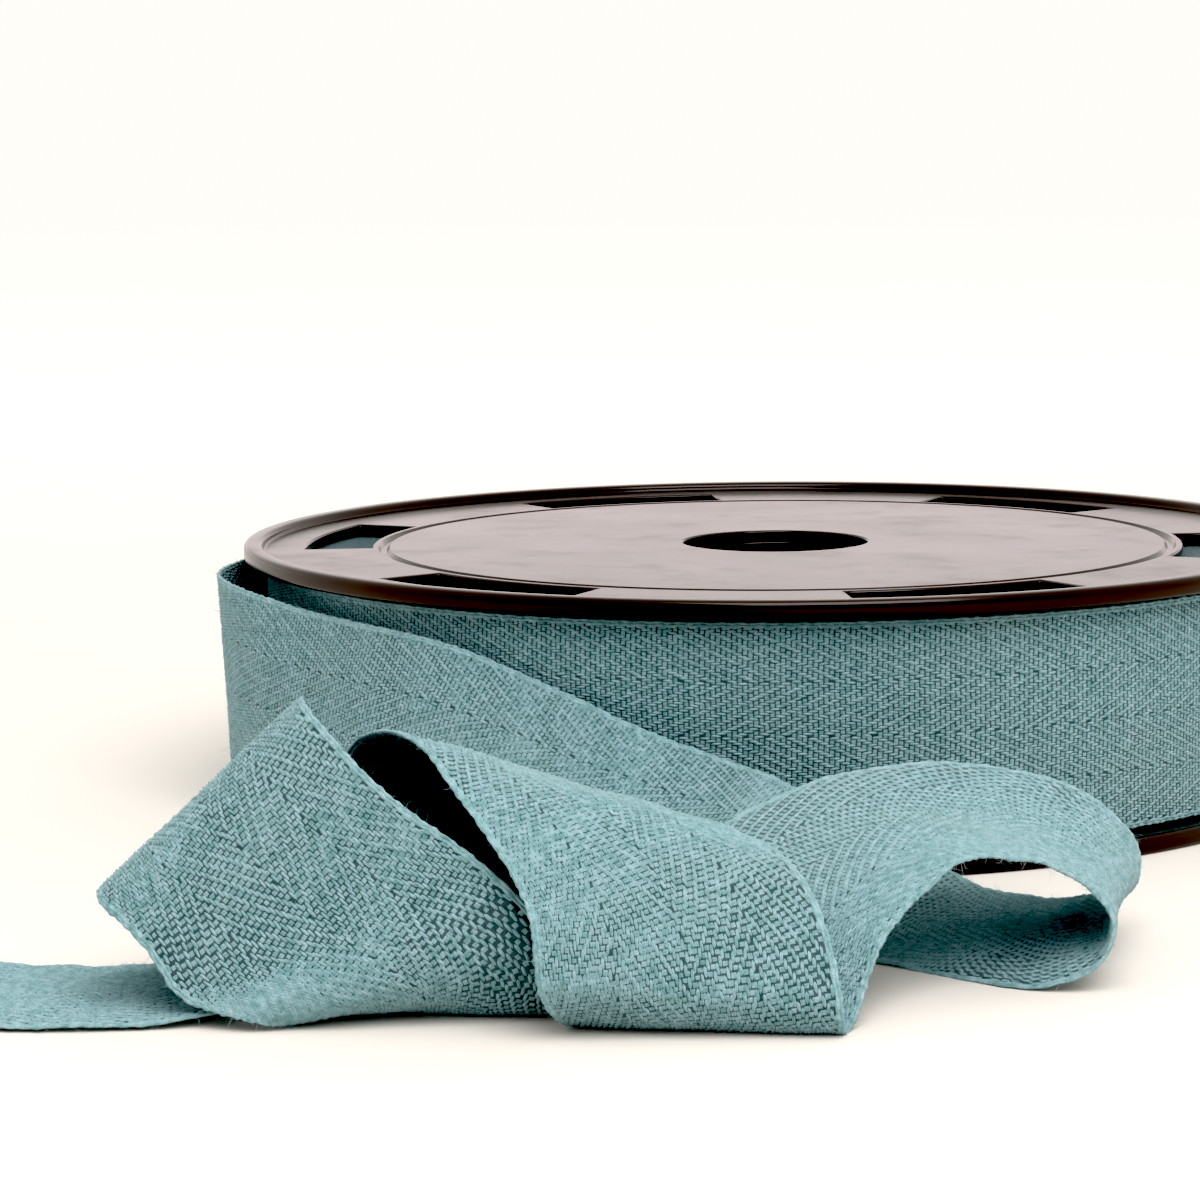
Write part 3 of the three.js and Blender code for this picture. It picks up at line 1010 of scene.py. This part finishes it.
# %% One fibre: three points round its root, three round its bend, and its tip
FIBRE_SIDES = 3
FIBRE_POINTS = 2 * FIBRE_SIDES + 1
FIBRE_FACES = np.array([
    (0, 1, 2), (0, 3, 1), (1, 3, 4), (1, 4, 2), (2, 4, 5),
    (2, 5, 0), (0, 5, 3), (3, 6, 4), (4, 6, 5), (5, 6, 3),
])[:, ::-1]
# Shapes of the spread of lengths, then the limits of length and thickness, in millimetres.
LENGTH_SHAPE, LENGTH_SCALE = 2.2, 0.34
SHORTEST, LONGEST = 0.3, 2.8
THINNEST, THICKEST = 0.012, 0.021
TAPER = 0.8
ROOT_ABOVE_GROUND = 0.06
FLOOR_GAP = 0.02
# How fibres stand: upright, outward at an edge, leaning along and over, and bending.
LEAST_RISE, MOST_RISE = 0.25, 1.0
EDGE_RISE = 0.9
LEAN_ALONG, LEAN_OVER = 0.9, 0.6
BEND_ALONG, BEND_OUT, BEND_OUT_MEAN = 0.9, 0.5, 0.1


# %% Fibres that stand off the cloth
def fuzz(name, lie, start, stop, count, faces_used, seed):
    chance = np.random.default_rng(seed)
    column = (count, 1)
    along = chance.uniform(start + 1, stop - 1, count)
    over = np.round(chance.uniform(-EDGE, EDGE, count), 1)
    at_edge = count // 3
    over[:at_edge] = np.sign(over[:at_edge]) * EDGE
    face = chance.choice(faces_used, count)[:, None]
    place, forward, sideways, out = lie(along, over)
    edge = np.where(np.abs(over) > EDGE - 0.05, np.sign(over), 0)[:, None]
    rise = out * face * chance.uniform(LEAST_RISE, MOST_RISE, column) + sideways * edge * EDGE_RISE
    lean = forward * chance.normal(0, LEAN_ALONG, column)
    lean += sideways * chance.normal(0, LEAN_OVER, column)
    aim = unit(rise + lean)
    curl = forward * chance.normal(0, BEND_ALONG, column)
    curl += out * face * chance.normal(BEND_OUT_MEAN, BEND_OUT, column)
    bend = unit(aim + curl)
    long = chance.gamma(LENGTH_SHAPE, LENGTH_SCALE, column).clip(SHORTEST, LONGEST)
    thick = chance.uniform(THINNEST, THICKEST, column)
    root = place + out * face * (GROUND / 2 + ROOT_ABOVE_GROUND)
    first = unit(np.cross(aim, forward + 0.3 * sideways))
    second = np.cross(aim, first)
    points = np.empty((count, FIBRE_POINTS, 3))
    for k in range(FIBRE_SIDES):
        turn = 2 * math.pi * k / FIBRE_SIDES
        ray = first * math.cos(turn) + second * math.sin(turn)
        points[:, k] = root + ray * thick
        points[:, FIBRE_SIDES + k] = root + aim * long * 0.5 + ray * thick * TAPER
    points[:, -1] = root + aim * long * 0.5 + bend * long * 0.5
    faces = FIBRE_FACES[None] + (np.arange(count) * FIBRE_POINTS)[:, None, None]
    flat = points.reshape(-1, 3)
    flat[:, 2] = np.maximum(flat[:, 2], FLOOR_GAP)
    return piece(name, flat, faces.reshape(-1, 3), stray_fibre)


# %% The fibres of the loose end and of the last turn
# A fibre stands on face 1, the outer one, or -1. The last turn shows only its outer face.
LOOSE_FIBRES = 6000
WOUND_FIBRES = 2500
loose_fuzz = fuzz("loose_fuzz", loose_lie, 0, LOOSE_LENGTH, LOOSE_FIBRES, (1, -1), 5)
fuzz("wound_fuzz", wound_lie, -last_turn, 0, WOUND_FIBRES, (1, 1), 6)
print("stray fibres", LOOSE_FIBRES + WOUND_FIBRES)

# %% [markdown]
# ## The sheet of cloth
#
# The loose end is one sheet of cloth, 25 mm wide and as long as its route. Its floats,
# selvedges and fibres hang on the same body as it, as every piece does.

# %% [markdown]
# ## Floor and light
#
# The picture is high-key: a pale floor that runs off into a bright room. The room
# gives most of the light, one broad lamp above gives the loops their soft shade, and
# the flat mirror of the flange shows how bright the room is low down behind it.
# Towards the back, the floor slowly turns from lit to glowing in the backdrop's own
# colour, so no horizon shows. Distances here are in metres.


# %% The floor
FLOOR_HALF = 6.0
NEAR_FLOOR = (0.775, 0.725, 0.68, 1)
NEAR_FLOOR_PALER = (0.805, 0.755, 0.71, 1)
UNLIT = (0, 0, 0, 1)
BACKDROP = (1.0, 0.985, 0.945, 1)
FIRST_GLOW = 0.38


def pale_floor():
    finish = Finish("pale_floor")
    place = finish.place()
    cloudy = finish.noise(place, 0.02, 3)
    depth = finish.node("ShaderNodeSeparateXYZ", None, {0: place}, out="Y")
    far = depth.between(0.3, 2.6)
    glowing = depth.between(-0.25, 0.7) * FIRST_GLOW + far * (1 - FIRST_GLOW)
    near_colour = finish.blend(cloudy, NEAR_FLOOR, NEAR_FLOOR_PALER)
    return finish.shade(
        Base_Color=finish.blend(far, near_colour, UNLIT),
        Roughness=0.9,
        Specular_IOR_Level=0.0,
        Emission_Color=finish.blend(glowing, UNLIT, BACKDROP),
        Emission_Strength=1.0,
    )


floor_mesh = bpy.data.meshes.new("floor")
corners = [(x * FLOOR_HALF, y * FLOOR_HALF, 0) for x, y in ((-1, -1), (1, -1), (1, 1), (-1, 1))]
floor_mesh.from_pydata(corners, [], [(0, 1, 2, 3)])
floor_mesh.materials.append(pale_floor())
floor = bpy.data.objects.new("floor", floor_mesh)
bpy.context.scene.collection.objects.link(floor)


# %% The room: bright all round, darker on the side one looks from
class Room(Finish):
    def __init__(self, name):
        self.world = bpy.data.worlds.new(name)
        self.start(self.world, "ShaderNodeOutputWorld")


FRONT_OF_ROOM = (0.42, 0.41, 0.40, 1)
LOW_AT_THE_BACK = (1.70, 1.42, 1.45, 1)

scene = bpy.context.scene
scene.view_settings.view_transform = "Standard"
room = Room("bright_room")
direction = room.node("ShaderNodeTexCoord", out="Generated")
ahead = room.node("ShaderNodeSeparateXYZ", None, {0: direction}, out="Y")
height = room.node("ShaderNodeSeparateXYZ", None, {0: direction}, out="Z")
front = (0 - ahead).between(0.35, 0.92)
low_band = ahead.between(0.2, 0.7) * height.between(0.05, 0.08) * (1 - height.between(0.10, 0.15))
light = room.blend(front, BACKDROP, FRONT_OF_ROOM)
light = room.blend(low_band, light, LOW_AT_THE_BACK)
background = room.node("ShaderNodeBackground", None, {"Color": light, "Strength": 1.0})
room.tree.links.new(background.socket, room.output.inputs["Surface"])
scene.world = room.world


# %% The lamp
LAMP_PLACE = (0.10, -0.42, 0.47)
LAMP_AIM = (0, -0.09, 0)
LAMP_SIZE = 0.5
LAMP_WATTS = 3.1
LAMP_COLOUR = (1.0, 0.985, 0.98)

lamp_data = bpy.data.lights.new("broad_lamp", "AREA")
lamp_data.shape = "SQUARE"
lamp_data.size = LAMP_SIZE
lamp_data.energy = LAMP_WATTS
lamp_data.color = LAMP_COLOUR
lamp = bpy.data.objects.new("broad_lamp", lamp_data)
lamp.location = LAMP_PLACE
lamp.rotation_euler = (Vector(LAMP_AIM) - Vector(LAMP_PLACE)).to_track_quat("-Z", "Y").to_euler()
scene.collection.objects.link(lamp)
print(f"lamp {LAMP_SIZE} m wide, {LAMP_WATTS} W")

# %% The darkest tones
# The photo is contrasty: its deepest shadows are cut to black. The same cut is made
# here. It acts on the picture only, so the pieces' own colours are a little paler.
DARKEST_KEPT = 0.062
scene.view_settings.use_curve_mapping = True
tones = scene.view_settings.curve_mapping
tones.black_level = (DARKEST_KEPT,) * 3
tones.update()
